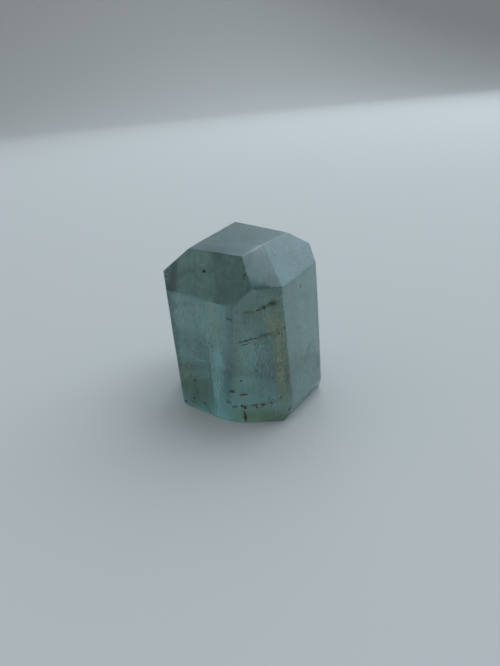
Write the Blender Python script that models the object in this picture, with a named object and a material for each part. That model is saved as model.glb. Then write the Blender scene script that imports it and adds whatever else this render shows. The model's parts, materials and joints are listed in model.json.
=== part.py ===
# Aquamarine crystal: a short, stout, six-sided prism of beryl, ground and polished on every side.
# It stands on its flat base at the origin, with the prism's length along Z.
# Each face is a flat plane. A plane is given by the compass direction that it looks in, by how far
# it leans up (+) or down (-) from upright, and by how far it lies from the origin.

import math

import bmesh
import bpy
from mathutils import Vector

MM = 0.001

# Driving dimensions: millimetres and degrees
HEIGHT = 20.0
ROUGH_BLOCK = 60.0          # edge of the block that the faces are ground from

# name: (looks towards, leans, distance from the origin)
PRISM_FACES = {
    "front": (-95.5, -3.0, 11.20),
    "right": (-32.0, 0.0, 10.75),
    "right_edge": (3.0, -0.5, 9.20),       # a narrow face where a prism edge was ground away
    "back_right": (40.0, 0.5, 9.70),
    "back": (87.0, 1.0, 12.40),
    "back_left": (151.0, -0.5, 8.95),
    "left_edge": (189.5, -0.5, 9.15),      # the matching narrow face on the other side
    "front_left": (-134.5, 1.5, 9.40),
}
TOP_CHAMFERS = {
    "over_front_left": (-134.0, 31.5, 15.60),   # the widest, and the steepest
    "over_right": (-33.0, 60.0, 20.20),
    "over_back_right": (34.5, 50.0, 18.90),
    "over_back_left": (155.0, 53.0, 18.10),
    "front_brow": (-90.5, 8.0, 14.55),          # a slight lean at the head of the front face
}
FOOT_CHAMFERS = {
    "under_right": (-33.5, -28.0, 8.60),
    "under_back_right": (41.0, -42.0, 6.60),
    "under_back": (88.0, -45.0, 8.30),
    "under_back_left": (150.0, -40.0, 6.30),
}

TWISTED_FACE_SHARE = 0.455  # part of the table's front edge that the twisted corner face takes
TWISTED_FACE_CUTS = 5       # rows of facets across the twisted corner face, less one

WORN_EDGE = 0.16            # width of the rounding on the sharp edges
WORN_EDGE_STEPS = 2
SHARP_FROM = 16.0           # edges that turn by more than this are rounded

BERYL_COLOUR = (0.24, 0.42, 0.42, 1.0)
BERYL_ROUGHNESS = 0.12
BERYL_IOR = 1.577
BERYL_CLEARNESS = 0.85


def clear_scene():
    for item in list(bpy.data.objects):
        bpy.data.objects.remove(item, do_unlink=True)


def outward(looks, leans):
    """Unit normal of a face from its compass direction and its lean."""
    looks = math.radians(looks)
    leans = math.radians(leans)
    return Vector((math.cos(leans) * math.cos(looks),
                   math.cos(leans) * math.sin(looks),
                   math.sin(leans)))


def plane_of(face):
    looks, leans, distance = face
    return outward(looks, leans), distance * MM


def grind(mesh, normal, distance):
    """Cut away all that lies past a plane, and close the cut with one flat face."""
    everything = mesh.verts[:] + mesh.edges[:] + mesh.faces[:]
    cut = bmesh.ops.bisect_plane(mesh, geom=everything, dist=1e-8, clear_outer=True,
                                 plane_co=normal * distance, plane_no=normal)
    rim = [item for item in cut["geom_cut"] if isinstance(item, bmesh.types.BMEdge)]
    if rim:
        bmesh.ops.contextual_create(mesh, geom=rim)


def meeting_point(*planes):
    """The corner that three planes share."""
    (a, p), (b, q), (c, r) = planes
    return (b.cross(c) * p + c.cross(a) * q + a.cross(b) * r) / a.dot(b.cross(c))


def plane_through(a, b, c):
    """The plane through three corners, looking away from the origin."""
    normal = (b - a).cross(c - a).normalized()
    if normal.dot(a) < 0.0:
        normal.negate()
    return normal, normal.dot(a)


def nearest(items, place, where):
    return min(items, key=lambda item: (where(item) - place).length)


def ground_block():
    """The block with every flat face ground on it."""
    mesh = bmesh.new()
    bmesh.ops.create_cube(mesh, size=ROUGH_BLOCK * MM)
    grind(mesh, Vector((0.0, 0.0, 1.0)), HEIGHT * MM)
    grind(mesh, Vector((0.0, 0.0, -1.0)), 0.0)
    for faces in (PRISM_FACES, TOP_CHAMFERS, FOOT_CHAMFERS):
        for face in faces.values():
            grind(mesh, *plane_of(face))
    return mesh


def corner_face_corners():
    """The four corners of the twisted face, which don't lie in one plane."""
    table = (Vector((0.0, 0.0, 1.0)), HEIGHT * MM)
    over_left = plane_of(TOP_CHAMFERS["over_front_left"])
    over_right = plane_of(TOP_CHAMFERS["over_right"])
    brow = plane_of(TOP_CHAMFERS["front_brow"])
    table_left = meeting_point(table, over_left, over_right)
    table_far = meeting_point(table, over_right, plane_of(TOP_CHAMFERS["over_back_right"]))
    table_right = table_left.lerp(table_far, TWISTED_FACE_SHARE)
    foot_left = meeting_point(over_left, brow, plane_of(PRISM_FACES["front"]))
    foot_right = meeting_point(over_right, brow, plane_of(PRISM_FACES["right"]))
    return table_left, table_right, foot_right, foot_left


def add_twisted_face(mesh):
    """Grind the corner over the front, then let the new face and its neighbour's tip become one
    smooth face that twists between its four corners."""
    table_left, table_right, foot_right, foot_left = corner_face_corners()
    grind(mesh, *plane_through(table_left, foot_right, foot_left))

    table_edge = nearest(mesh.edges, (table_left + table_right) / 2.0,
                         lambda edge: (edge.verts[0].co + edge.verts[1].co) / 2.0)
    start = nearest(table_edge.verts, table_left, lambda vert: vert.co)
    share = (table_right - start.co).length / table_edge.calc_length()
    split_vert = bmesh.utils.edge_split(table_edge, start, share)[1]
    right_vert = nearest(mesh.verts, foot_right, lambda vert: vert.co)
    bmesh.ops.connect_verts(mesh, verts=[split_vert, right_vert])

    left_vert = nearest(mesh.verts, table_left, lambda vert: vert.co)
    ridge = [edge for edge in left_vert.link_edges if edge.other_vert(left_vert) is right_vert]
    bmesh.ops.dissolve_edges(mesh, edges=ridge, use_verts=False)
    middle = (table_left + table_right + foot_right + foot_left) / 4.0
    twisted = nearest(mesh.faces, middle, lambda face: face.calc_center_median())
    bmesh.ops.subdivide_edges(mesh, edges=twisted.edges[:], cuts=TWISTED_FACE_CUTS,
                              use_grid_fill=True)


def wear_edges(mesh):
    """Round the sharp edges a little."""
    sharp = [edge for edge in mesh.edges
             if edge.calc_face_angle(0.0) > math.radians(SHARP_FROM)]
    bmesh.ops.bevel(mesh, geom=sharp, offset=WORN_EDGE * MM, offset_type="WIDTH",
                    segments=WORN_EDGE_STEPS, profile=0.5, affect="EDGES", clamp_overlap=True)


def stand_on_origin(mesh):
    """Move the crystal so that the middle of its footprint's box is at the origin."""
    low = Vector([min(vert.co[axis] for vert in mesh.verts) for axis in range(3)])
    high = Vector([max(vert.co[axis] for vert in mesh.verts) for axis in range(3)])
    shift = Vector((-(low.x + high.x) / 2.0, -(low.y + high.y) / 2.0, -low.z))
    bmesh.ops.translate(mesh, verts=mesh.verts[:], vec=shift)


def beryl_material():
    material = bpy.data.materials.new("aquamarine")
    material.use_nodes = True
    shader = material.node_tree.nodes["Principled BSDF"]
    shader.inputs["Base Color"].default_value = BERYL_COLOUR
    shader.inputs["Roughness"].default_value = BERYL_ROUGHNESS
    shader.inputs["Metallic"].default_value = 0.0
    shader.inputs["IOR"].default_value = BERYL_IOR
    shader.inputs["Transmission Weight"].default_value = BERYL_CLEARNESS
    material.diffuse_color = BERYL_COLOUR
    return material


def make_crystal():
    mesh = ground_block()
    add_twisted_face(mesh)
    wear_edges(mesh)
    stand_on_origin(mesh)
    bmesh.ops.recalc_face_normals(mesh, faces=mesh.faces[:])
    data = bpy.data.meshes.new("aquamarine_crystal")
    mesh.to_mesh(data)
    mesh.free()
    crystal = bpy.data.objects.new("aquamarine_crystal", data)
    crystal.data.materials.append(beryl_material())
    bpy.context.scene.collection.objects.link(crystal)
    return crystal


clear_scene()
make_crystal()
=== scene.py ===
import itertools
import json
import math

import bmesh
import bpy
import numpy as np
from mathutils import Matrix, Vector

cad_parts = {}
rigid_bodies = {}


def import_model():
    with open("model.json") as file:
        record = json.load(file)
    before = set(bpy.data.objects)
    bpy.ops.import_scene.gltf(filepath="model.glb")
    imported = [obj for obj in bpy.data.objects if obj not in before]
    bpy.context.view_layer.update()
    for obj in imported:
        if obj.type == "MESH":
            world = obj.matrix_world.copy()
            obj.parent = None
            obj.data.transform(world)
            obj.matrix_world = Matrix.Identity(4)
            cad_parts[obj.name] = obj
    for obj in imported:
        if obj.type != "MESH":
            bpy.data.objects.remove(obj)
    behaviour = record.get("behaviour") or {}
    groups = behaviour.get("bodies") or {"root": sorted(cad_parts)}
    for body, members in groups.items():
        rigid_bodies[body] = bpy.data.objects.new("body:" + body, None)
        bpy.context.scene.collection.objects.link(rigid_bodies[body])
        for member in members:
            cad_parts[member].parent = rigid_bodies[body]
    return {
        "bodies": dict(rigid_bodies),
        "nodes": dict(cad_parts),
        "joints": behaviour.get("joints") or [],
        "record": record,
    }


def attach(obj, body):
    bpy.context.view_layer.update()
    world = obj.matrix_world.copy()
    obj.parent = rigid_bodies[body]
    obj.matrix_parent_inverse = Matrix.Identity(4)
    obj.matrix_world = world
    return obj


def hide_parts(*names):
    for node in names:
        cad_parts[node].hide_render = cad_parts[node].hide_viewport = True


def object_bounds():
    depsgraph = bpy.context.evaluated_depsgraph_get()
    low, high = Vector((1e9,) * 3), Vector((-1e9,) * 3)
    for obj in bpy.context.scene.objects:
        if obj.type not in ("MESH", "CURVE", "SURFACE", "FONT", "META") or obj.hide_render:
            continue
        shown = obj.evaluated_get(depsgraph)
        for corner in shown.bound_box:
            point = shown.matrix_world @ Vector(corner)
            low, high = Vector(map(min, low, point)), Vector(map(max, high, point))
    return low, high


mm = 0.001

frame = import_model()
cadBox = [list(corner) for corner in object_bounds()]
lowest, highest = np.array(cadBox) / mm
stone = "aquamarine_crystal"
print("frame loaded, box in mm:", [[round(value / mm, 2) for value in corner] for corner in cadBox])

# The stone's skin. Each face: the compass direction that it looks in, how far it leans up from upright,
# and its distance from the origin in mm.
crystal = {
    "height": 20.0,
    "faces": {
        "front": (-95.5, -3.0, 11.20),
        "right": (-32.0, 0.0, 10.75),
        "rightEdge": (3.0, -0.5, 9.20),
        "backRight": (40.0, 0.5, 9.70),
        "back": (87.0, 1.0, 12.40),
        "backLeft": (151.0, -0.5, 8.95),
        "leftEdge": (187.6, -0.5, 9.03),
        "frontLeft": (-134.5, 1.5, 9.40),
        "overFrontLeft": (-134.0, 31.5, 15.60),
        "overRight": (-33.0, 60.0, 20.20),
        "overBackRight": (34.5, 50.0, 18.90),
        "overBackLeft": (155.0, 53.0, 18.10),
        "frontBrow": (-90.5, 8.0, 14.55),
        "underRight": (-33.5, -28.0, 8.60),
        "underBackRight": (41.0, -42.0, 6.60),
        "underBack": (88.0, -45.0, 8.30),
        "underBackLeft": (150.0, -40.0, 6.30),
        "table": (0.0, 90.0, 20.0),
        "base": (0.0, -90.0, 0.0),
    },
    "twistShare": 0.455,       # part of the edge between table and overRight that the twisted corner takes
    "edgeSharpness": 460.0,    # higher is sharper: the power in the high power mean
    "edgeWear": 0.32,          # how much the sharpness wanders along the edges
    "wearLength": 5.0,         # about how far apart its highs are
    "wearLimits": (0.35, 1.8),
    # edges that are rubbed round, and the difference in nearness at which their two faces begin to melt
    "softEdges": (("front", "frontLeft", 0.0110),),
    "crownRadius": 900.0,      # hand polishing leaves the faces very slightly domed
    "rimStep": 0.13,           # spacing of the points along an edge
    # how far in from the rim each ring of a face's points lies
    "rings": (0.0, 0.035, 0.08, 0.14, 0.22, 0.34, 0.55, 0.9, 1.5, 2.6, 4.2, 7.0),
    "polishWaves": 0.004,      # height of the waves that polishing left
    "waveLength": 4.0,
    "seed": 11,
}


# The way out of a face: level toward its compass direction, then tilted up by its lean.
def faceNormal(looks, leans):
    looks, leans = math.radians(looks), math.radians(leans)
    return np.array([math.cos(leans) * math.cos(looks), math.cos(leans) * math.sin(looks), math.sin(leans)])


faceNames = list(crystal["faces"])
faceNormals = np.array([faceNormal(*face[:2]) for face in crystal["faces"].values()])
faceDistances = np.array([face[2] for face in crystal["faces"].values()])
faceIndex = {name: number for number, name in enumerate(faceNames)}
middle = np.array([0.0, 0.0, crystal["height"] / 2.0])
close = 1e-3   # points and planes nearer than this, in mm, count as meeting


# The corner that three faces share: the point at each face's own distance along its own normal.
def corner(*names):
    rows = [faceIndex[name] for name in names]
    return np.linalg.solve(faceNormals[rows], faceDistances[rows])


tableLeft = corner("table", "overFrontLeft", "overRight")
tableFar = corner("table", "overRight", "overBackRight")
tableRight = tableLeft + crystal["twistShare"] * (tableFar - tableLeft)
footRight = corner("overRight", "frontBrow", "right")
footLeft = corner("overFrontLeft", "frontBrow", "front")


# Every three faces meet at a point, and the points that no face cuts off are the crystal's corners.
# The plane through three corners of the twisted face stands in for it here.
def allCorners():
    parallel = 1e-3   # three faces whose determinant is smaller meet in no point
    rounding = 1e-6   # a corner lies on its own faces only to this many mm
    standIn = np.cross(footLeft - tableLeft, footRight - tableLeft)
    standIn /= np.linalg.norm(standIn)
    normals = np.vstack([faceNormals, standIn])
    distances = np.append(faceDistances, standIn @ tableLeft)
    threes = np.array(list(itertools.combinations(range(len(normals)), 3)))
    threes = threes[abs(np.linalg.det(normals[threes])) > parallel]
    points = np.linalg.solve(normals[threes], distances[threes][..., None])[..., 0]
    points = points[(points @ normals.T - distances).max(axis=1) < rounding]
    return np.unique(np.vstack([points, tableRight]).round(5), axis=0)


# A face's corners in order round its middle, seen from outside.
def roundTheFace(points, normal):
    aslant = [0.37, 0.61, 0.70]   # any way that no face looks in
    across = np.cross(normal, aslant)
    up = np.cross(normal, across)
    out = points - points.mean(axis=0)
    return points[np.argsort(np.arctan2(out @ up, out @ across))]


# The corners of each face are those that lie in its plane. The twisted face has its own four.
def faceOutlines():
    corners = allCorners()
    outlines = {}
    for name, normal, distance in zip(faceNames, faceNormals, faceDistances):
        points = corners[abs(corners @ normal - distance) < close]
        if name == "overRight":
            points = points[np.linalg.norm(points - tableLeft, axis=1) > close]
        outlines[name] = roundTheFace(points, normal)
    outlines["twistedCorner"] = np.array([tableLeft, footLeft, footRight, tableRight])
    return outlines


# A smooth random field: a sum of sine waves of about one length, each in its own direction.
def ripples(points, length, waves, seed):
    random = np.random.default_rng(seed)
    directions = random.normal(size=(waves, 3))
    directions *= (2 * math.pi / length * random.uniform(0.6, 1.5, waves)
                   / np.linalg.norm(directions, axis=1))[:, None]
    phases = random.uniform(0, 2 * math.pi, waves)
    return np.sin(points @ directions.T + phases).sum(axis=1) * math.sqrt(2.0 / waves)


# One over the distance at which rays from the middle meet the twisted face. Its points are
# start + a u + b v + c u v, so it lies where w, measured along c, equals u v: a quadratic in the distance.
def twistedNearness(rays):
    a, b = tableRight - tableLeft, footLeft - tableLeft
    c = tableLeft - tableRight - footLeft + footRight
    toShares = np.linalg.inv(np.array([a, b, c]).T)
    u0, v0, w0 = toShares @ (middle - tableLeft)
    u1, v1, w1 = toShares @ rays.T
    square, line, rest = u1 * v1, u0 * v1 + u1 * v0 - w1, u0 * v0 - w0
    inside = line ** 2 - 4 * square * rest
    half = -(line + np.copysign(np.sqrt(np.maximum(inside, 0)), line)) / 2
    roots = np.array([half / np.where(square == 0, 1e-12, square), rest / half])
    flat = np.cross(tableRight - footLeft, footRight - tableLeft)
    centre = (tableLeft + tableRight + footRight + footLeft) / 4
    flatReach = (centre - middle) @ flat / (rays @ flat)
    reach = np.where(abs(roots[0] - flatReach) < abs(roots[1] - flatReach), roots[0], roots[1])
    u, v = u0 + u1 * reach, v0 + v1 * reach
    past = 0.35   # the face carries on for this share of its width past its corners, under its neighbours
    near = (inside > 0) & (reach > 0) & (abs(u - 0.5) < 0.5 + past) & (abs(v - 0.5) < 0.5 + past)
    return np.where(near, 1.0 / reach, 0.0)


# How far the skin is from the middle along each ray. Every face gives a nearness, one over the distance
# at which the ray meets it. Their high power mean is the skin: flat on the faces and round on the edges.
# On a soft edge the two faces become one first: the higher nearness plus a parabola where they are close.
# Faint waves from polishing lie over it all.
def skinReach(rays, roughPoints, outlines):
    fromMiddle = faceDistances - faceNormals @ middle
    centres = np.array([outlines[name].mean(axis=0) for name in faceNames])
    aside = ((roughPoints[:, None, :] - centres) ** 2).sum(axis=2)
    aside -= ((roughPoints[:, None, :] - centres) * faceNormals).sum(axis=2) ** 2
    crowned = fromMiddle - aside / (2 * crystal["crownRadius"])
    nearness = np.clip(rays @ faceNormals.T, 0, None) / crowned
    nearness = np.column_stack([nearness, twistedNearness(rays)])
    wander = ripples(roughPoints, crystal["wearLength"], waves=24, seed=crystal["seed"])
    power = crystal["edgeSharpness"] * np.clip(1 + crystal["edgeWear"] * wander, *crystal["wearLimits"])
    columns = faceNames + ["twistedCorner"]
    for one, other, melt in crystal["softEdges"]:
        one, other = columns.index(one), columns.index(other)
        apart = nearness[:, one] - nearness[:, other]
        meeting = np.clip(1 - abs(apart) / melt, 0, 1)
        nearness[:, one] = np.maximum(nearness[:, one], nearness[:, other]) + melt * meeting ** 2 / 4
        nearness[:, other] = 0
    highest = nearness.max(axis=1)
    mean = highest * ((nearness / highest[:, None]) ** power[:, None]).sum(axis=1) ** (1 / power)
    polish = ripples(roughPoints, crystal["waveLength"], waves=30, seed=crystal["seed"] + 1)
    return 1 / mean + crystal["polishWaves"] * polish


# One face's points: rings that shrink from its rim to its middle. A ring lies at its own distance from
# the rim while it is close to it, and the last ring is the middle itself.
def faceRings(outline):
    rim = []
    for here, there in zip(outline, np.roll(outline, -1, axis=0)):
        steps = max(2, round(np.linalg.norm(there - here) / crystal["rimStep"]))
        share = np.arange(steps)[:, None] / steps
        rim.append(here + (there - here) * share)
    rim = np.vstack(rim)
    centre = outline.mean(axis=0)
    inward = centre - rim
    length = np.linalg.norm(inward, axis=1)[:, None]
    last = crystal["rings"][-1]
    rings = [rim + inward * ring / (length + ring * (1 - length / last)) for ring in crystal["rings"]]
    return np.array(rings)


# Four-sided faces between each ring and the next. The points are counted from start, ring by ring.
def ringFaces(rings, around, start):
    ring, place = np.meshgrid(np.arange(rings - 1), np.arange(around), indexing="ij")
    here = start + ring * around + place
    beside = start + ring * around + (place + 1) % around
    return np.stack([here, beside, beside + around, here + around], axis=-1).reshape(-1, 4)


def newObject(name, data):
    thing = bpy.data.objects.new(name, data)
    bpy.context.scene.collection.objects.link(thing)
    return thing


# Puts points in mm and faces into a mesh, merges what meets, and turns the faces outward. The tones, one for
# each face, are painted light and painted shade, and become a colour attribute that the material reads.
def makePiece(name, points, faces, material, tones=None):
    mesh = bpy.data.meshes.new(name)
    mesh.from_pydata((np.asarray(points) * mm).tolist(), [], np.asarray(faces).tolist())
    if tones is not None:
        layer = mesh.attributes.new("paintedFaceShade", "FLOAT_COLOR", "FACE")
        layer.data.foreach_set("color", np.asarray(tones, np.float32).ravel())
    work = bmesh.new()
    work.from_mesh(mesh)
    bmesh.ops.remove_doubles(work, verts=work.verts[:], dist=close * mm)
    bmesh.ops.recalc_face_normals(work, faces=work.faces[:])
    work.to_mesh(mesh)
    work.free()
    mesh.polygons.foreach_set("use_smooth", np.ones(len(mesh.polygons), bool))
    mesh.materials.append(material)
    return newObject(name, mesh)


# The rings of all faces, each point moved along its ray from the middle to where the skin is.
def makeSkin(material):
    outlines = faceOutlines()
    points, faces, tones, start = [], [], [], 0
    for name, outline in outlines.items():
        rings = faceRings(outline)
        faces.append(ringFaces(len(rings), len(rings[0]), start))
        points.append(rings.reshape(-1, 3))
        start += points[-1].shape[0]
        tones.append(np.tile(faceShades.get(name, faceShades["others"]), (len(faces[-1]), 1)))
    points, faces = np.vstack(points), np.vstack(faces)
    rays = points - middle
    rays /= np.linalg.norm(rays, axis=1)[:, None]
    reach = skinReach(rays, points, outlines)
    points = np.clip(middle + rays * reach[:, None], lowest, highest)
    skin = makePiece("crystal_skin", points, faces, material, np.vstack(tones))
    print("skin:", len(skin.data.polygons), "faces")
    return skin


# Fills a node's inputs in order: a socket is linked, and anything else is set as a plain value.
def fill(node, *values):
    for socket, value in zip(node.inputs, values):
        if isinstance(value, bpy.types.NodeSocket):
            node.id_data.links.new(value, socket)
        else:
            socket.default_value = value
    return node


# A Math node on sockets and plain values. It gives back its output.
def numberMath(nodes, operation, *values):
    node = nodes.new("ShaderNodeMath")
    node.operation = operation
    return fill(node, *values).outputs["Value"]


# A Vector Math node likewise.
def vectorMath(nodes, operation, *values):
    node = nodes.new("ShaderNodeVectorMath")
    node.operation = operation
    fill(node, *values)
    return node.outputs["Value" if operation in ("LENGTH", "DOT_PRODUCT") else "Vector"]


# Maps a number from one range to another, and holds it there.
def mapRange(nodes, value, fromMin, fromMax, toMin=0.0, toMax=1.0, curve="SMOOTHSTEP"):
    node = nodes.new("ShaderNodeMapRange")
    node.interpolation_type = curve
    return fill(node, value, fromMin, fromMax, toMin, toMax).outputs["Result"]


# Mixes two colours. Each of the three inputs is a socket or a plain value.
def blend(nodes, factor, first, second, way="MIX"):
    mix = nodes.new("ShaderNodeMix")
    mix.data_type = "RGBA"
    mix.blend_type = way
    for name, value in (("Factor", factor), ("A", first), ("B", second)):
        if isinstance(value, bpy.types.NodeSocket):
            mix.id_data.links.new(value, mix.inputs[name])
        else:
            mix.inputs[name].default_value = value
    return mix.outputs["Result"]


# An empty node group that takes vectors and numbers and puts out one number.
def newGroup(name, vectors, numbers, output):
    group = bpy.data.node_groups.new(name, "ShaderNodeTree")
    for socket in vectors:
        group.interface.new_socket(socket, in_out="INPUT", socket_type="NodeSocketVector")
    for socket in numbers:
        group.interface.new_socket(socket, in_out="INPUT", socket_type="NodeSocketFloat")
    group.interface.new_socket(output, in_out="OUTPUT", socket_type="NodeSocketFloat")
    inside, outside = group.nodes.new("NodeGroupInput"), group.nodes.new("NodeGroupOutput")
    return group, inside.outputs, outside.inputs[output]


# Places a group in a material and fills its inputs.
def groupIn(nodes, group, *values):
    node = nodes.new("ShaderNodeGroup")
    node.node_tree = group
    return fill(node, *values)


streakNoise = {"Detail": 5.0, "Roughness": 0.62}


# Streaks that run up the crystal: noise on object coordinates, squeezed across and drawn out along Z. All
# streaks here are given as: how fine, how far squeezed along Z, the noise at which they begin and at which
# they are full, and how much they twist.
def streakGroup():
    numbers = ("Across", "Draw Out", "From", "To", "Twist")
    group, given, result = newGroup("grownStreaks", (), numbers, "Streaks")
    nodes, links = group.nodes, group.links
    place = nodes.new("ShaderNodeTexCoord")
    along = fill(nodes.new("ShaderNodeCombineXYZ"), 1.0, 1.0, given["Draw Out"])
    noise = nodes.new("ShaderNodeTexNoise")
    for name, value in streakNoise.items():
        noise.inputs[name].default_value = value
    squeezed = vectorMath(nodes, "MULTIPLY", place.outputs["Object"], along.outputs["Vector"])
    links.new(squeezed, noise.inputs["Vector"])
    links.new(given["Across"], noise.inputs["Scale"])
    links.new(given["Twist"], noise.inputs["Distortion"])
    links.new(mapRange(nodes, noise.outputs["Fac"], given["From"], given["To"]), result)
    return group


grownStreaks = streakGroup()


# A material with its nodes, its links and its shader's inputs.
def newMaterial(name):
    material = bpy.data.materials.new(name)
    material.use_nodes = True
    nodes = material.node_tree.nodes
    return material, nodes, material.node_tree.links, nodes["Principled BSDF"].inputs


# A finish for flaws: fine streaks between two colours, and some light let through where it is clear.
def grainMaterial(name, dull, bright, rough, streaks, ior=1.5, clear=0.0):
    material, nodes, links, shader = newMaterial(name)
    shader["Roughness"].default_value = rough
    shader["IOR"].default_value = ior
    shader["Transmission Weight"].default_value = clear
    grain = groupIn(nodes, grownStreaks, *streaks)
    links.new(blend(nodes, grain.outputs["Streaks"], (*dull, 1), (*bright, 1)), shader["Base Color"])
    return material


# Each face is made lighter or darker to paint in how the light falls on it: painted light and painted shade.
# The twisted corner is darkened against the sky's reflection on it, the face over the front left is darkened
# and the right face is lightened. The fourth number is how mottled it is.
faceShades = {
    "table": (0.50, 0.82, 0.84, 0.4),
    "overRight": (0.44, 0.80, 0.87, 0.3),
    "twistedCorner": (0.36, 0.48, 0.50, 0.4),
    "overFrontLeft": (0.42, 0.44, 0.36, 0.25),
    "frontLeft": (0.74, 0.84, 0.82, 1.0),
    "front": (1.0, 1.0, 0.90, 0.60),
    "frontBrow": (1.0, 0.94, 0.78, 0.5),
    "right": (1.0, 1.0, 1.0, 0.25),
    "underRight": (1.0, 1.0, 1.0, 0.5),
    "others": (0.80, 0.90, 0.90, 0.8),
}

beryl = {
    "ior": 1.577,
    "clear": 0.90,                       # the rest is milky and shows its own colour
    "absorbs": (0.15, 0.50, 0.48, 1),    # what is left of each colour
    "density": 68.0,
    "rough": 0.24,
    "groundBase": (0.02, 0.10, 0.70),    # the base is ground but not polished: from, to (mm), roughness
    # mottling: its streaks, its colour and how that is laid on
    "mottling": (
        ((3200.0, 0.60, 0.50, 0.72, 1.0),
         (0.40, 0.56, 0.54, 1), "MULTIPLY"),
        ((800.0, 0.35, 0.42, 0.80, 0.8),
         (0.40, 0.56, 0.54, 1), "MULTIPLY"),
        ((3800.0, 0.70, 0.54, 0.72, 2.0),
         (1.0, 1.0, 1.0, 1), "MIX"),
    ),
}

# Zones where a face takes another colour: mostly the stone's own streaks and stains, but at the foot and on
# the left part of the front left face they are painted shade. Columns: along the face, height, then half
# sizes along and up and how far inward it reaches in mm, turn, softness, colour and strength. Later ones lie
# over earlier ones.
zones = {
    "frontLeft": (
        # painted shade that darkens the face left of the stripe, so wide that its edge is a nearly straight
        # line up the face
        (-36.58, 8.0, 40.0, 60.0, 0.15, 0, 0.004, (0.40, 0.50, 0.48), 1.0),
        (0.5, 12.8, 5.5, 4.2, 0.15, -8, 0.70, (0.78, 0.84, 0.82), 0.9),
        (1.4, 8.6, 3.6, 2.2, 0.15, -12, 0.70, (0.27, 0.37, 0.38), 0.9),
        # painted shade, darker towards the foot
        (-0.5, 3.2, 5.0, 4.6, 0.15, -6, 0.65, (0.18, 0.18, 0.08), 0.95),
        (4.5, 12.6, 1.05, 3.4, 0.40, 1, 0.14, (1.0, 0.92, 0.78), 0.85),
        (4.65, 7.3, 1.25, 2.7, 0.40, 1, 0.20, (1.0, 1.0, 1.0), 1.0),
        (4.10, 3.6, 0.72, 3.0, 0.40, 0, 0.20, (1.0, 1.0, 1.0), 1.0),
    ),
    "overFrontLeft": (
        (-5.6, 16.6, 2.6, 3.4, 0.15, 0, 0.50, (0.95, 1.0, 0.90), 1.0),
        (6.3, 17.8, 3.1, 3.4, 0.15, 0, 0.12, (0.62, 0.70, 0.58), 1.0),
    ),
    "front": (
        (-0.9, 14.0, 1.6, 2.4, 0.40, 0, 0.80, (0.60, 0.68, 0.64), 0.8),
        (1.6, 14.0, 4.5, 1.8, 0.15, 0, 0.80, (0.72, 0.78, 0.64), 0.7),
        (3.6, 5.0, 1.5, 3.6, 0.15, 14, 0.25, (1.0, 1.0, 1.0), 0.9),
        (5.2, 9.0, 1.1, 8.5, 0.15, 0, 0.50, (1.0, 0.92, 0.66), 0.85),
        (5.0, 13.2, 1.6, 1.6, 0.15, 0, 0.80, (1.0, 0.84, 0.54), 0.7),
        (4.1, 15.0, 1.5, 0.40, 0.15, 18, 0.90, (0.34, 0.28, 0.10), 0.9),
        (4.90, 15.30, 0.95, 0.72, 0.15, 20, 0.85, (0.16, 0.05, 0.0), 1.0),
        (4.0, 11.5, 1.8, 0.45, 0.15, 14, 0.90, (0.40, 0.36, 0.16), 0.9),
        (5.26, 11.82, 0.46, 0.52, 0.15, 60, 0.85, (0.18, 0.07, 0.0), 1.0),
        # painted shadow where the foot meets the floor
        (2.2, 0.8, 6.4, 2.2, 0.60, 0, 0.95, (0.56, 0.40, 0.16), 1.0),
    ),
    "right": (
        (-2.2, 7.0, 3.4, 1.2, 0.15, 24, 0.80, (0.72, 0.80, 0.62), 0.7),
        (-5.4, 7.0, 1.0, 2.4, 0.15, 0, 0.80, (0.74, 0.84, 0.66), 0.6),
    ),
    "overRight": (
        (3.2, 18.0, 1.6, 2.0, 0.15, 0, 0.80, (0.20, 0.50, 0.55), 0.9),
    ),
    "table": (
        (-2.0, -5.6, 5.6, 3.6, 0.15, -44, 1.0, (0.10, 0.20, 0.22), 0.90),
        (-1.2, -1.6, 4.0, 3.0, 0.15, -44, 1.0, (0.30, 0.48, 0.50), 0.5),
        (2.2, -2.5, 1.0, 4.0, 0.15, 25, 0.60, (0.46, 0.60, 0.58), 0.5),
        (3.0, 4.5, 4.0, 3.0, 0.15, 0, 0.60, (0.80, 1.0, 1.0), 0.8),
    ),
}

zoneEdge = {
    "waver": 0.6,      # in mm
    "grain": 900.0,    # how fine the waver is
    "detail": 4.0,
}


# A soft oval patch on a face: its strength inside, none outside, with an edge that wavers. It ends at its
# own depth, so that it stays off the faces beside it.
def zoneGroup():
    vectors = ("Place", "Turn", "Size", "Waver")
    group, given, result = newGroup("tintAndShadeZone", vectors, ("Softness", "Strength"), "Mask")
    nodes, links = group.nodes, group.links
    place = nodes.new("ShaderNodeTexCoord").outputs["Object"]
    mapping = nodes.new("ShaderNodeMapping")
    mapping.vector_type = "TEXTURE"
    local = fill(mapping, place, given["Place"], given["Turn"], given["Size"]).outputs["Vector"]
    noise = nodes.new("ShaderNodeTexNoise")
    noise.inputs["Scale"].default_value = zoneEdge["grain"]
    noise.inputs["Detail"].default_value = zoneEdge["detail"]
    links.new(place, noise.inputs["Vector"])
    centred = vectorMath(nodes, "SUBTRACT", noise.outputs["Color"], (0.5, 0.5, 0.5))
    flat = vectorMath(nodes, "MULTIPLY", local, (1.0, 1.0, 0.0))
    wavered = vectorMath(nodes, "MULTIPLY_ADD", centred, given["Waver"], flat)
    reach = vectorMath(nodes, "LENGTH", wavered)
    full = numberMath(nodes, "SUBTRACT", 1.0, given["Softness"])
    fade = mapRange(nodes, reach, full, 1.0, given["Strength"], 0.0)
    inward = fill(nodes.new("ShaderNodeSeparateXYZ"), local).outputs["Z"]
    depth = numberMath(nodes, "ABSOLUTE", inward)
    near = numberMath(nodes, "LESS_THAN", depth, 1.0)
    links.new(numberMath(nodes, "MULTIPLY", fade, near), result)
    return group


tintAndShadeZone = zoneGroup()


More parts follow.
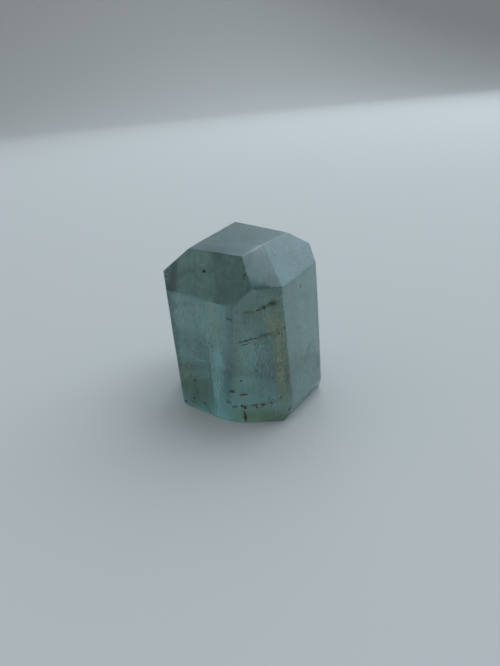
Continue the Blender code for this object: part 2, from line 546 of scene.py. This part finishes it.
# A face's own directions: level along it, up along it, and out of it.
def faceFrame(name):
    if name == "twistedCorner":
        out = np.cross(tableRight - footLeft, footRight - tableLeft)
        out *= np.sign(out[2]) / np.linalg.norm(out)
        distance = out @ (tableLeft + tableRight + footRight + footLeft) / 4
    else:
        out, distance = faceNormals[faceIndex[name]], faceDistances[faceIndex[name]]
    level = np.array([-out[1], out[0], 0.0])
    if name == "table":
        level[0] = 1.0
    level /= np.linalg.norm(level)
    return level, np.cross(out, level), out, distance


# The point that lies so deep under the spot of a face at this height and this far along it, in mm. On the
# table, which is level, the second number is not a height but runs to the back.
def under(name, across, high, deep):
    level, up, out, distance = faceFrame(name)
    across, high, deep = (np.asarray(value, float)[..., None] for value in (across, high, deep))
    rise = high if name == "table" else (high - out[2] * distance) / up[2]
    return out * (distance - deep) + level * across + up * rise


# The face's directions turned about the way out of it, one set for each angle.
def turnedFrames(name, degrees):
    level, up, out, _ = faceFrame(name)
    angle = np.radians(np.atleast_1d(degrees))[:, None]
    first = level * np.cos(angle) + up * np.sin(angle)
    second = up * np.cos(angle) - level * np.sin(angle)
    return np.stack([first, second, np.broadcast_to(out, first.shape)], axis=1)


# Lays the zones over a colour, one after another.
def paintZones(nodes, colour):
    for face, rows in zones.items():
        for across, high, along, up, inward, turn, softness, tone, strength in rows:
            place = under(face, across, high, 0) * mm
            axes = Matrix(turnedFrames(face, turn)[0].T.tolist())
            size = Vector((along, up, inward)) * mm
            waver = (zoneEdge["waver"] / along, zoneEdge["waver"] / up, 0.0)
            zone = groupIn(nodes, tintAndShadeZone, place, axes.to_euler(), size, waver, softness, strength)
            colour = blend(nodes, zone.outputs["Mask"], colour, (*tone, 1))
    return colour


# Each face's painted light and shade with its zones and mottling, round a clear body that absorbs. The
# roughness falls from the ground base to the polished sides.
def berylMaterial():
    material, nodes, links, shader = newMaterial("aquamarine")
    shader["IOR"].default_value = beryl["ior"]
    shader["Transmission Weight"].default_value = beryl["clear"]
    tone = nodes.new("ShaderNodeAttribute")
    tone.attribute_name = "paintedFaceShade"
    colour = paintZones(nodes, tone.outputs["Color"])
    for streaks, mottle, way in beryl["mottling"]:
        mask = groupIn(nodes, grownStreaks, *streaks).outputs["Streaks"]
        share = numberMath(nodes, "MULTIPLY", mask, tone.outputs["Alpha"])
        colour = blend(nodes, share, colour, mottle, way)
    links.new(colour, shader["Base Color"])
    place = nodes.new("ShaderNodeTexCoord").outputs["Object"]
    height = fill(nodes.new("ShaderNodeSeparateXYZ"), place).outputs["Z"]
    low, high, ground = beryl["groundBase"]
    rough = mapRange(nodes, height, low * mm, high * mm, ground, beryl["rough"], "LINEAR")
    links.new(rough, shader["Roughness"])
    volume = fill(nodes.new("ShaderNodeVolumeAbsorption"), beryl["absorbs"], beryl["density"])
    links.new(volume.outputs["Volume"], nodes["Material Output"].inputs["Volume"])
    print("beryl:", len(faceShades), "tones and", sum(map(len, zones.values())), "zones")
    return material


skin = makeSkin(berylMaterial())
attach(skin, "root")
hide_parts(stone)


# Many small closed lumps as one mesh. Each is a ball whose radius wavers as a sum of sine waves, stretched
# by its three sizes and laid in its own three directions.
def lumps(places, directions, sizes, wobble, seed, around=8, along=6):
    random = np.random.default_rng(seed)
    turn, rise = np.meshgrid(np.linspace(0, 2 * math.pi, around, endpoint=False),
                             np.linspace(0, math.pi, along + 1), indexing="xy")
    ball = np.stack([np.sin(rise) * np.cos(turn), np.sin(rise) * np.sin(turn), np.cos(rise)], axis=-1)
    ball = ball.reshape(-1, 3)
    waves = 2.6 * np.array([(1, 0, 1), (0, 1, -1), (1.4, 1, 0), (-1, 1, 1.5)])   # radians per radius
    phases = random.uniform(0, 2 * math.pi, (len(places), 1, len(waves)))
    waver = np.sin((ball @ waves.T)[None] + phases).sum(axis=-1)
    local = ball[None] * (1 + wobble * waver[..., None] / 2) * np.asarray(sizes)[:, None, :]
    points = np.asarray(places)[:, None, :] + np.einsum("nmk,nkc->nmc", local, np.asarray(directions))
    row, column = np.meshgrid(np.arange(along), np.arange(around), indexing="ij")
    here, beside = row * around + column, row * around + (column + 1) % around
    quads = np.stack([here, here + around, beside + around, beside], axis=-1).reshape(-1, 4)
    faces = quads[None] + np.arange(len(points))[:, None, None] * len(ball)
    return points.reshape(-1, 3), faces.reshape(-1, 4)


# Moves each lump toward the middle until its outermost point stands proud of the skin by no more than it
# may. A lump that the polished face cuts through stands proud by a hair.
def keepInside(points, count, proud):
    rays = points - middle
    reach = np.linalg.norm(rays, axis=1)
    rays /= reach[:, None]
    over = (reach - skinReach(rays, points, faceOutlines())).reshape(count, -1).max(axis=1)
    over = np.clip(over - proud, 0, None)
    inward = -rays.reshape(count, -1, 3).mean(axis=1)
    points = (points.reshape(count, -1, 3) + (inward * over[:, None])[:, None, :]).reshape(-1, 3)
    return np.clip(points, lowest, highest)


# Lumps as one piece that belongs to the stone.
def makeLumps(name, places, directions, sizes, wobble, seed, material, proud=0.0, **detail):
    points, faces = lumps(places, directions, sizes, wobble, seed, **detail)
    points = keepInside(points, len(places), proud)
    piece = makePiece(name, points, faces, material)
    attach(piece, "root")
    print(name + ":", len(places), "lumps,", len(piece.data.polygons), "faces")


cut = -0.03   # depth in mm of the near side of a flaw that the polish cut through, before it is ground flush

# Rows are single flaws: face, along it, height, how deep the near side lies, half sizes along, up and
# inward in mm, and the turn. Trails are loose rows of small flaws that follow a line on a face: face,
# corners of the line (along the face, height), mean half sizes along it, across it and inward, how many,
# how far they stray from it and how deep they lie. Loose ones lie anywhere.
darkSpecks = {
    "seed": 3,
    "look": {
        "dull": (0.010, 0.009, 0.007),
        "bright": (0.055, 0.034, 0.016),
        "rough": 0.6,
        "streaks": (5000.0, 1.0, 0.35, 0.7, 0.4),
    },
    "rows": (
        ("overFrontLeft", 1.96, 17.96, cut, 0.34, 0.17, 0.06, -5),
        ("overFrontLeft", 5.17, 17.98, 0.20, 0.13, 0.10, 0.05, 0),
        ("overFrontLeft", 8.22, 18.26, cut, 0.15, 0.22, 0.05, 0),
        ("twistedCorner", -1.39, 18.97, 0.15, 0.17, 0.13, 0.05, 30),
        ("overRight", -2.88, 18.98, cut, 0.25, 0.10, 0.05, 40),
        ("right", -3.60, 15.77, cut, 0.22, 0.13, 0.05, 40),
        ("right", -1.02, 6.16, cut, 0.12, 0.14, 0.05, 20),
        ("right", -0.07, 3.93, cut, 0.10, 0.17, 0.05, 5),
        ("frontLeft", 7.20, 13.56, cut, 0.50, 0.12, 0.03, -4),
        ("front", 3.10, 14.62, cut, 0.13, 0.10, 0.05, 20),
        ("front", 3.90, 14.86, cut, 0.18, 0.17, 0.08, 20),
        ("front", 5.30, 11.70, cut, 0.12, 0.17, 0.05, 20),
        ("front", 0.43, 5.74, cut, 0.20, 0.14, 0.06, 10),
        ("front", -0.62, 3.92, cut, 0.12, 0.07, 0.05, 0),
        ("front", 0.86, 3.90, cut, 0.13, 0.06, 0.05, 0),
        ("front", -1.62, 2.11, cut, 0.08, 0.31, 0.05, 0),
        ("front", -1.28, 2.23, cut, 0.08, 0.17, 0.05, 10),
        ("front", -0.73, 1.72, cut, 0.38, 0.09, 0.05, 3),
        ("front", 0.30, 2.25, cut, 0.26, 0.16, 0.06, 0),
        ("front", 0.62, 2.05, cut, 0.16, 0.29, 0.06, 0),
        ("front", 1.75, 2.44, cut, 0.42, 0.09, 0.05, 10),
        ("front", 2.80, 2.45, cut, 0.29, 0.18, 0.06, 12),
        ("front", 5.85, 1.60, cut, 0.26, 0.07, 0.05, 45),
        ("front", 0.53, 0.66, cut, 0.17, 0.47, 0.07, 2),
        ("front", 0.50, 1.25, cut, 0.07, 0.45, 0.05, 2),
        ("frontLeft", 0.16, 4.11, cut, 0.13, 0.16, 0.05, 30),
        ("frontLeft", -0.45, 1.41, cut, 0.16, 0.16, 0.05, 10),
        ("frontLeft", 1.45, 1.21, cut, 0.17, 0.13, 0.05, 0),
        ("frontLeft", -2.10, 0.45, cut, 0.26, 0.16, 0.05, -15),
        ("back", 2.10, 12.30, cut, 0.39, 0.18, 0.06, 15),
        ("back", -3.20, 6.10, cut, 0.23, 0.21, 0.06, -30),
        ("backLeft", 1.60, 8.40, cut, 0.29, 0.13, 0.06, 20),
        ("backRight", -1.20, 11.20, cut, 0.21, 0.21, 0.06, 0),
        ("overBackRight", 1.00, 17.20, cut, 0.23, 0.16, 0.06, 25),
    ),
    # face, line, half sizes, how many, how far they stray, how deep
    "trails": (
        ("front", ((0.55, 10.75), (1.6, 10.98), (3.0, 11.35)), (0.17, 0.035, 0.03), 20, 0.05, cut),
        ("front", ((1.1, 10.45), (2.3, 10.75)), (0.15, 0.045, 0.03), 10, 0.04, cut),
        ("front", ((2.8, 11.2), (5.2, 11.85)), (0.10, 0.03, 0.03), 10, 0.05, 0.15),
        ("front", ((2.6, 14.4), (4.1, 14.95), (5.4, 15.4)), (0.06, 0.035, 0.03), 24, 0.12, cut),
        ("front", ((-1.7, 2.05), (1.0, 2.15), (3.0, 2.5), (5.1, 3.3)), (0.06, 0.04, 0.04), 30, 0.10, cut),
        ("frontLeft", ((-0.9, 0.7), (0.8, 0.9), (3.0, 0.8)), (0.05, 0.04, 0.04), 12, 0.35, cut),
        ("frontLeft", ((-0.6, 4.6), (0.3, 3.6), (0.4, 2.2)), (0.05, 0.05, 0.04), 12, 0.20, cut),
        ("back", ((-4.0, 3.0), (0.5, 3.8), (4.5, 3.1)), (0.10, 0.04, 0.04), 34, 0.15, cut),
        ("backLeft", ((-2.5, 12.0), (0.5, 13.2), (2.5, 13.0)), (0.12, 0.04, 0.04), 24, 0.10, cut),
    ),
    "loose": 90,
    "looseSize": (0.05, 0.04, 0.03),
}

rustFilms = {
    "seed": 4,
    "look": {
        "dull": (0.10, 0.075, 0.030),
        "bright": (0.30, 0.29, 0.085),
        "rough": 0.8,
        "streaks": (3500.0, 1.0, 0.3, 0.7, 0.4),
    },
    "rows": (
        ("front", -0.80, 3.84, cut, 0.42, 0.21, 0.02, 0),
        ("front", 0.62, 3.82, cut, 0.46, 0.20, 0.02, 0),
        ("front", 2.78, 2.44, cut, 0.30, 0.22, 0.02, 12),
        ("front", 2.00, 2.15, cut, 0.10, 0.22, 0.02, 0),
        ("front", 0.48, 2.05, cut, 0.30, 0.24, 0.02, 0),
        ("front", 0.50, 0.75, 0.10, 0.20, 0.50, 0.02, 0),
        ("front", 0.84, 14.44, cut, 0.15, 0.09, 0.02, 0),
        ("front", 6.00, 12.30, cut, 0.10, 0.20, 0.02, 0),
        ("overFrontLeft", 8.18, 18.12, cut, 0.20, 0.30, 0.02, 0),
        ("twistedCorner", -2.45, 18.40, 0.15, 0.16, 0.12, 0.02, 20),
    ),
    "trails": (
        ("front", ((1.6, 14.42), (2.0, 14.45), (2.5, 14.38)), (0.19, 0.08, 0.012), 9, 0.02, cut),
        ("front", ((2.4, 14.4), (3.3, 14.62), (4.4, 15.1)), (0.09, 0.03, 0.012), 18, 0.06, cut),
        ("front", ((4.9, 12.1), (5.4, 11.7), (5.6, 11.3)), (0.06, 0.03, 0.012), 8, 0.12, cut),
        ("front", ((0.2, 2.3), (1.2, 2.3), (3.2, 2.55), (5.2, 3.35)), (0.09, 0.05, 0.012), 34, 0.14, cut),
        ("front", ((6.10, 13.0), (6.14, 11.0)), (0.14, 0.022, 0.012), 8, 0.02, cut),
        ("frontLeft", ((3.45, 9.95), (3.5, 9.55), (4.3, 9.6)), (0.10, 0.05, 0.012), 9, 0.03, cut),
        ("right", ((-4.4, 6.6), (-2.6, 7.1), (-1.0, 8.1)), (0.16, 0.04, 0.012), 16, 0.30, cut),
        ("right", ((-6.4, 11.6), (-4.0, 10.7), (-1.4, 11.0)), (0.18, 0.03, 0.012), 12, 0.10, cut),
        ("back", ((-3.0, 9.0), (1.0, 9.8), (4.0, 9.2)), (0.20, 0.06, 0.012), 40, 0.20, cut),
        ("leftEdge", ((-1.0, 5.0), (0.2, 9.0), (0.6, 13.0)), (0.16, 0.05, 0.012), 30, 0.20, cut),
    ),
    "loose": 40,
    "looseSize": (0.09, 0.05, 0.015),
}

flawHabits = {
    "flush": 0.014,        # how far proud of the skin a flaw stands that the polish cut through, in mm
    "wobble": 0.25,
    "turnScatter": 10,     # degrees
    "sizeScatter": 0.5,
    "sideways": 0.4,       # how far a trail strays level, as a share of how far it strays up and down
    "depthScatter": 0.04,
    "looseScatter": 0.45,
    "looseFaces": 14,      # the faces that loose flaws lie on, counted from the first
}


# Random half sizes round a mean one, each scattered by its own factor.
def scattered(size, scatter, count, random):
    return np.array(size) * np.exp(random.normal(0, scatter, (count, 3)))


# A trail's flaws lie at random along its line, each turned to run with it.
def trailRows(face, line, size, count, stray, deep, random):
    line = np.array(line)
    lengths = np.linalg.norm(np.diff(line, axis=0), axis=1)
    along = np.concatenate([[0], np.cumsum(lengths)])
    spot = np.sort(random.uniform(0, along[-1], count))
    across, high = np.interp(spot, along, line[:, 0]), np.interp(spot, along, line[:, 1])
    slope = np.arctan2(np.gradient(high, spot), np.gradient(across, spot))
    turn = np.degrees(slope) + random.normal(0, flawHabits["turnScatter"], count)
    across = across + random.normal(0, stray * flawHabits["sideways"], count)
    high = high + random.normal(0, stray, count)
    sizes = scattered(size, flawHabits["sizeScatter"], count, random)
    depths = deep + abs(random.normal(0, flawHabits["depthScatter"], count))
    return [(face, a, h, d, *half, t) for a, h, d, half, t in zip(across, high, depths, sizes, turn)]


# Tiny flaws anywhere on the named faces: each place is a random mean of its face's corners.
def looseRows(count, faces, size, random):
    outlines = faceOutlines()
    rows = []
    for face in random.choice(faces, count):
        level, _, _, _ = faceFrame(face)
        outline = outlines[face]
        across, high = outline @ level, outline[:, 2]
        share = random.dirichlet(np.ones(len(outline)))
        half = scattered(size, flawHabits["looseScatter"], 1, random)[0]
        rows.append((str(face), share @ across, share @ high, cut, *half, random.uniform(-90, 90)))
    return rows


# Single flaws, trails and loose ones as one piece. A flaw's middle lies its inward half size under its
# near side.
def makeFlaws(name, finish, flaws):
    random = np.random.default_rng(flaws["seed"])
    rows = list(flaws["rows"])
    for trail in flaws["trails"]:
        rows += trailRows(*trail, random)
    rows += looseRows(flaws["loose"], faceNames[:flawHabits["looseFaces"]], flaws["looseSize"], random)
    places = np.array([under(row[0], row[1], row[2], row[3] + row[6]) for row in rows])
    directions = np.concatenate([turnedFrames(row[0], row[7]) for row in rows])
    makeLumps(name, places, directions, [row[4:7] for row in rows], flawHabits["wobble"], flaws["seed"],
              grainMaterial(finish, **flaws["look"]), flawHabits["flush"])


makeFlaws("dark_specks", "dark_mineral", darkSpecks)
makeFlaws("rust_films", "iron_stain", rustFilms)


# The milkiness is thousands of fine hollow needles that run up the stone.
silk = {
    "count": 8000,
    "spare": 4,                      # how many places are tried for each that is kept
    "shares": (0.35, 0.955),         # from the middle to the skin
    "bundle": 2.2,                   # about how far apart the bundles of needles are
    "drawOut": 0.12,
    "gathered": 0.9,                 # higher leaves fewer needles between the bundles
    "lean": 0.05,
    "size": (0.018, 0.008, 0.26),    # half sizes
    "sizeScatter": 0.45,
    "wobble": 0.1,                   # of a needle's radius
    "mesh": {"around": 4, "along": 3},   # faces round a needle and along it
    "seed": 21,
}

milkTones = {
    "milky_silk": ((0.46, 0.84, 0.88), (0.70, 1.0, 1.0)),
    "cut_silk": ((0.52, 0.91, 0.94), (0.74, 1.0, 1.0)),
    "olive_silk": ((0.52, 0.62, 0.48), (0.74, 0.82, 0.62)),
}
milkLook = {
    "rough": 1.0,
    "streaks": (600.0, 0.3, 0.3, 0.7, 0.4),
    "ior": 1.1,
    "clear": 0.40,
}


# How far the flat faces let a ray from the middle go.
def stoneReach(rays):
    nearness = rays @ faceNormals.T / (faceDistances - faceNormals @ middle)
    return 1 / np.column_stack([nearness, twistedNearness(rays)]).max(axis=1)


# Points spread evenly through the stone, down from a share of the way to its skin. Only those stay
# where a streaky random field is strong, so that they gather in bundles that run up the stone.
def spreadInside(random):
    rays = random.normal(size=(silk["count"] * silk["spare"], 3))
    rays /= np.linalg.norm(rays, axis=1)[:, None]
    first, last = silk["shares"]
    share = random.uniform(first ** 3, last ** 3, len(rays)) ** (1 / 3)
    points = middle + rays * (stoneReach(rays) * share)[:, None]
    field = ripples(points * (1, 1, silk["drawOut"]), silk["bundle"], waves=40, seed=silk["seed"])
    field = field * silk["gathered"] + random.normal(size=len(points))
    return points[np.argsort(-field)[:silk["count"]]]


# One frame for each needle: its long way near to upright, its other two turned at random round it.
def uprightFrames(count, lean, random):
    long = np.column_stack([random.normal(0, lean, (count, 2)), np.ones(count)])
    long /= np.linalg.norm(long, axis=1)[:, None]
    turn = random.uniform(0, math.pi, count)
    wide = np.column_stack([np.cos(turn), np.sin(turn), np.zeros(count)])
    wide -= long * (wide * long).sum(axis=1)[:, None]
    wide /= np.linalg.norm(wide, axis=1)[:, None]
    return np.stack([wide, np.cross(long, wide), long], axis=1)


# The needles all through the stone.
def makeSilk(material):
    random = np.random.default_rng(silk["seed"])
    places = spreadInside(random)
    frames = uprightFrames(silk["count"], silk["lean"], random)
    sizes = scattered(silk["size"], silk["sizeScatter"], silk["count"], random)
    makeLumps("milky_silk", places, frames, sizes, silk["wobble"], silk["seed"], material, **silk["mesh"])


# Veils of the same needles close to the skin: face, along it, height, half sizes of the veil along and up,
# how deep it reaches, the turn of its needles from upright, how many, and the needles' half length.
paleVeils = {
    "proud": 0.004,
    "seed": 22,
    "rows": (
        ("frontLeft", 0.4, 12.6, 4.0, 2.6, 0.05, 8, 420, 0.06),
        ("frontLeft", 1.4, 9.0, 3.0, 1.6, 0.05, 60, 220, 0.06),
        ("overFrontLeft", 1.5, 17.6, 4.0, 1.6, 0.10, 10, 120, 0.05),
        ("overFrontLeft", 3.1, 16.6, 0.12, 1.4, 0.0, -8, 40, 0.14),
        ("front", 2.4, 8.0, 2.6, 4.0, 0.10, 0, 520, 0.08),
        ("front", 3.2, 4.6, 1.2, 1.6, 0.10, 0, 160, 0.08),
        ("right", -3.5, 9.5, 3.0, 6.0, 0.80, 0, 420, 0.12),
        ("overRight", -1.5, 18.2, 2.4, 1.2, 0.40, 20, 160, 0.07),
        ("table", 1.0, 1.0, 4.0, 4.0, 0.50, 40, 260, 0.07),
        ("back", 0.0, 8.5, 3.5, 5.0, 0.40, 0, 300, 0.12),
        ("backLeft", 0.5, 9.0, 1.6, 5.0, 0.40, 10, 200, 0.12),
        ("backRight", 0.0, 9.0, 1.6, 5.0, 0.40, -10, 200, 0.12),
    ),
}

# Brighter veils that the polish cut through.
cutVeils = {
    "proud": 0.009,
    "seed": 23,
    "rows": (
        ("frontLeft", 3.46, 6.0, 0.05, 3.6, 0.0, 1, 200, 0.26),
        ("frontLeft", 4.9, 8.1, 0.42, 1.0, 0.0, 4, 700, 0.18),
        ("frontLeft", 4.4, 6.2, 0.70, 2.6, 0.0, 4, 420, 0.20),
        ("frontLeft", 3.9, 3.3, 0.36, 1.3, 0.0, 4, 340, 0.18),
        ("frontLeft", 0.5, 8.35, 0.9, 0.14, 0.0, 70, 65, 0.10),
        ("frontLeft", 1.6, 7.25, 1.0, 0.16, 0.0, 80, 70, 0.10),
        ("frontLeft", -1.5, 12.4, 0.45, 0.12, 0.0, 80, 34, 0.09),
        ("frontLeft", 1.2, 14.5, 1.1, 0.20, 0.0, 80, 60, 0.08),
        ("overFrontLeft", 1.2, 18.5, 0.45, 0.10, 0.0, 80, 18, 0.07),
        ("right", -3.4, 4.2, 3.0, 3.4, 0.0, 0, 320, 0.10),
        ("front", 3.0, 7.5, 1.2, 3.2, 0.0, 0, 150, 0.16),
        ("front", 3.4, 3.6, 1.1, 1.8, 0.0, 0, 80, 0.16),
        ("overFrontLeft", -4.7, 17.8, 1.0, 1.4, 0.0, 0, 60, 0.10),
        ("right", -4.2, 14.6, 2.2, 2.6, 0.0, 0, 120, 0.10),
    ),
}

# The olive growth streaks beside the front's right edge.
oliveVeils = {
    "proud": 0.009,
    "seed": 24,
    "rows": (
        ("front", 5.3, 11.0, 0.60, 3.6, 0.0, 0, 420, 0.22),
        ("front", 5.2, 5.0, 0.66, 3.4, 0.0, 0, 480, 0.22),
        ("front", 4.5, 13.0, 0.70, 1.2, 0.0, 0, 200, 0.18),
        ("front", 6.13, 9.0, 0.03, 5.4, 0.0, 0, 220, 0.24),
    ),
}

veilHabits = {
    "spread": 0.6,         # of the half sizes, as a standard deviation
    "turnScatter": 7,      # degrees
    "sizeScatter": 0.45,
    "cut": -0.01,          # depth of a veil's nearest needles before they are ground flush, in mm
}


# Needles strewn round each veil's middle. A veil that is taller than wide leans with its needles.
def makeVeils(name, veils, material):
    random = np.random.default_rng(veils["seed"])
    places, frames, sizes = [], [], []
    for face, across, high, wide, tall, deep, turn, count, length in veils["rows"]:
        along, up = (random.normal(0, veilHabits["spread"], (count, 2)) * (wide, tall)).T
        leaning = math.tan(math.radians(turn)) * (tall > wide)
        depth = deep * random.uniform(0, 1, count) ** 2 + veilHabits["cut"]
        places.append(under(face, across + along - up * leaning, high + up, depth))
        frame = turnedFrames(face, turn + random.normal(0, veilHabits["turnScatter"], count))
        frames.append(frame[:, [0, 2, 1]])
        half = (*silk["size"][:2], length)
        sizes.append(scattered(half, veilHabits["sizeScatter"], count, random))
    makeLumps(name, np.vstack(places), np.vstack(frames), np.vstack(sizes), silk["wobble"], veils["seed"],
              material, veils["proud"], **silk["mesh"])


milks = {name: grainMaterial(name, *tones, **milkLook) for name, tones in milkTones.items()}
makeSilk(milks["milky_silk"])
makeVeils("pale_veils", paleVeils, milks["milky_silk"])
makeVeils("cut_veils", cutVeils, milks["cut_silk"])
makeVeils("olive_veils", oliveVeils, milks["olive_silk"])

# Bruised edges, whose pale flakes are partly real wear and partly painted highlight lines along the edges:
# two faces, how many flakes lie on the edge that they share, and their half length in mm.
wornHighlitEdges = {
    "flakeSize": (0.014, 0.008),   # half width and half height
    "sizeScatter": 0.5,
    "ends": 0.02,                  # share of the edge that stays whole at each end
    "sunk": 0.02,
    "proud": 0.002,
    "wobble": 0.3,
    "mesh": {"around": 6, "along": 4},   # faces round a flake and along it
    "seed": 31,
    "look": {
        "dull": (0.34, 0.48, 0.50),
        "bright": (0.74, 0.84, 0.86),
        "rough": 0.9,
        "streaks": (3000.0, 1.0, 0.3, 0.7, 0.4),
    },
    "edges": (
        ("table", "overRight", 60, 0.10), ("table", "twistedCorner", 34, 0.09),
        ("twistedCorner", "overRight", 50, 0.09), ("overRight", "right", 20, 0.07),
        ("table", "overFrontLeft", 16, 0.06), ("overFrontLeft", "twistedCorner", 12, 0.05),
        ("front", "right", 40, 0.08), ("overRight", "overBackRight", 40, 0.09),
        ("table", "overBackRight", 60, 0.09), ("table", "overBackLeft", 50, 0.09),
        ("right", "rightEdge", 26, 0.09), ("backRight", "back", 40, 0.09), ("back", "backLeft", 40, 0.09),
        ("leftEdge", "backLeft", 30, 0.09), ("frontLeft", "leftEdge", 20, 0.08),
        ("front", "base", 24, 0.08), ("frontLeft", "base", 20, 0.08),
    ),
}


# The flakes lie along the straight line between the two corners that both faces have.
def makeWornEdges():
    random = np.random.default_rng(wornHighlitEdges["seed"])
    outlines = faceOutlines()
    places, frames, sizes = [], [], []
    for one, other, count, length in wornHighlitEdges["edges"]:
        apart = np.linalg.norm(outlines[one][:, None] - outlines[other][None], axis=2)
        ends = outlines[one][apart.min(axis=1) < 2 * close]
        along = (ends[-1] - ends[0]) / np.linalg.norm(ends[-1] - ends[0])
        out = faceFrame(one)[2] + faceFrame(other)[2]
        out /= np.linalg.norm(out)
        share = random.uniform(wornHighlitEdges["ends"], 1 - wornHighlitEdges["ends"], count)
        places.append(ends[0] + (ends[-1] - ends[0]) * share[:, None] - out * wornHighlitEdges["sunk"])
        frame = np.array([along, np.cross(out, along), out])
        frames.append(np.broadcast_to(frame, (count, 3, 3)))
        half = (length, *wornHighlitEdges["flakeSize"])
        sizes.append(scattered(half, wornHighlitEdges["sizeScatter"], count, random))
    makeLumps("worn_and_highlit_edges", np.vstack(places), np.vstack(frames), np.vstack(sizes), wornHighlitEdges["wobble"],
              wornHighlitEdges["seed"], grainMaterial("bruised_edge_and_highlight", **wornHighlitEdges["look"]), wornHighlitEdges["proud"],
              **wornHighlitEdges["mesh"])


makeWornEdges()

# The floor runs back level and bends up behind the stone, in metres.
sweep = {
    "side": 1.6,
    "front": -0.6,
    "straight": 0.78,    # how far behind the stone the bend starts
    "radius": 0.22,
    "tall": 0.225,
    "bendSteps": 32,
    "colour": (0.75, 0.72, 0.70, 1),
    "rough": 0.9,
    "shine": 0.1,
}


# A profile of a straight, a quarter circle and a last rise, drawn out to both sides.
def makeFloor():
    bend = np.linspace(0, math.pi / 2, sweep["bendSteps"] + 1)
    y = np.concatenate([[sweep["front"]], sweep["straight"] + sweep["radius"] * np.sin(bend),
                        [sweep["straight"] + sweep["radius"]]])
    z = np.concatenate([[0.0], sweep["radius"] * (1 - np.cos(bend)), [sweep["tall"]]])
    x = np.array([-sweep["side"], sweep["side"]])
    points = np.stack([np.tile(x, len(y)), np.repeat(y, 2), np.repeat(z, 2)], axis=1)
    row = np.arange(len(y) - 1)[:, None] * 2
    faces = row + np.array([0, 1, 3, 2])
    mesh = bpy.data.meshes.new("floor")
    mesh.from_pydata(points.tolist(), [], faces.tolist())
    mesh.polygons.foreach_set("use_smooth", np.ones(len(mesh.polygons), bool))
    material, _, _, shader = newMaterial("floor_paper")
    shader["Base Color"].default_value = sweep["colour"]
    shader["Roughness"].default_value = sweep["rough"]
    shader["Specular IOR Level"].default_value = sweep["shine"]
    mesh.materials.append(material)
    floor = newObject("floor", mesh)


makeFloor()

# A light is named by the compass turn from straight ahead toward the right, its height above level, how
# far off it is in metres, its two sides and its power in watts.
lights = {
    "window": {"turn": 40, "above": 50, "away": 0.70, "sides": (1.05, 0.75), "power": 3.3,
               "colour": (0.76, 0.92, 1.0)},
}


# The light faces the origin from its place.
def hangLight(name, turn, above, away, sides, power, colour):
    light = bpy.data.lights.new(name, "AREA")
    light.shape = "RECTANGLE"
    light.size, light.size_y = sides
    light.energy = power
    light.color = colour
    lamp = newObject(name, light)
    turn, above = math.radians(turn), math.radians(above)
    way = Vector((math.sin(turn) * math.cos(above), math.cos(turn) * math.cos(above), math.sin(above)))
    lamp.location = way * away
    lamp.rotation_mode = "QUATERNION"
    lamp.rotation_quaternion = (-way).to_track_quat("-Z", "Y")


for lightName, light in lights.items():
    hangLight(lightName, **light)

sky = {
    "ahead": (0.39, 0.46, 0.51, 1),     # behind and above the stone
    "behind": (0.16, 0.17, 0.18, 1),    # behind the camera
    "way": (0.25, 0.85, 0.46),          # the way to its brightest part
    "fade": (-0.6, 0.7),                # the cosines from that way at which the fade starts and ends
}


# The room's light fades from ahead of the camera to behind it, by how far a direction turns from the way.
def makeSky():
    world = bpy.data.worlds.new("studio")
    world.use_nodes = True
    nodes, links = world.node_tree.nodes, world.node_tree.links
    place = nodes.new("ShaderNodeTexCoord")
    facing = vectorMath(nodes, "DOT_PRODUCT", place.outputs["Generated"], sky["way"])
    share = mapRange(nodes, facing, *sky["fade"])
    links.new(blend(nodes, share, sky["behind"], sky["ahead"]), nodes["Background"].inputs["Color"])
    bpy.context.scene.world = world


makeSky()
bpy.context.scene.view_settings.view_transform = "Standard"

shot = {
    "place": (0.946, -73.614, 37.546),   # mm
    "down": 22.578,
    "roll": -5.604,
    "lens": 32.433,                      # for 36 mm along the long side
    "sensor": 36,                        # mm
    "clip": (0.002, 10),                 # metres
}


# The camera looks along +Y, down by an angle, and is rolled about its own view.
def makeCamera():
    data = bpy.data.cameras.new("camera")
    data.sensor_fit = "AUTO"
    data.sensor_width = shot["sensor"]
    data.lens = shot["lens"]
    data.clip_start, data.clip_end = shot["clip"]
    camera = newObject("camera", data)
    down, roll = math.radians(shot["down"]), math.radians(shot["roll"])
    forward = Vector((0, math.cos(down), -math.sin(down)))
    level = Vector((1, 0, 0))
    above = level.cross(forward)
    right = level * math.cos(roll) + above * math.sin(roll)
    up = above * math.cos(roll) - level * math.sin(roll)
    turn = Matrix((right, up, -forward)).transposed().to_4x4()
    camera.matrix_world = Matrix.Translation(Vector(shot["place"]) * mm) @ turn
    bpy.context.scene.camera = camera


makeCamera()
print("floor, light and camera are in place")
